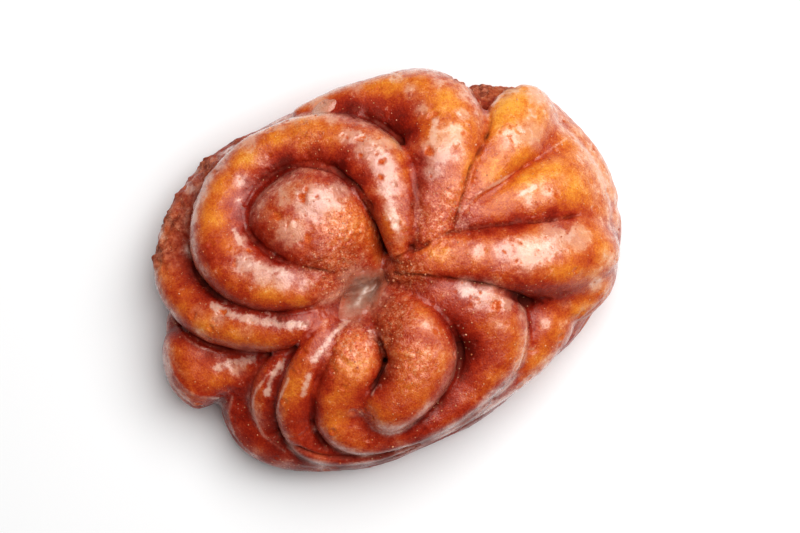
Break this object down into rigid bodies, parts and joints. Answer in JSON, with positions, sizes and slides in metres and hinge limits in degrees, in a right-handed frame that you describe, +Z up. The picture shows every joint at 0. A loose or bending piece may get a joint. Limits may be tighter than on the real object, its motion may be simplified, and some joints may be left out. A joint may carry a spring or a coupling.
{
  "type": "glazed cruller doughnut",
  "caption": "Glazed cruller doughnut: swirled ropes of fried dough that fan out of an off-centre pinch on an oval base.",
  "frame": {"origin": "middle of the outline seen from above, on the flat foot", "axes": "+Z up from the foot to the crests, +X along the long axis towards the broad folds, +Y towards the round knob and its rings"},
  "size_m": [0.1116, 0.0822, 0.0355],
  "materials": {
    "crust": "deep golden-brown fried crust under a thin glaze",
    "glaze": "thin translucent sugar glaze, glossy"
  },
  "bodies": {
    "root": {"doughnut": "crust"}
  },
  "joints": []
}
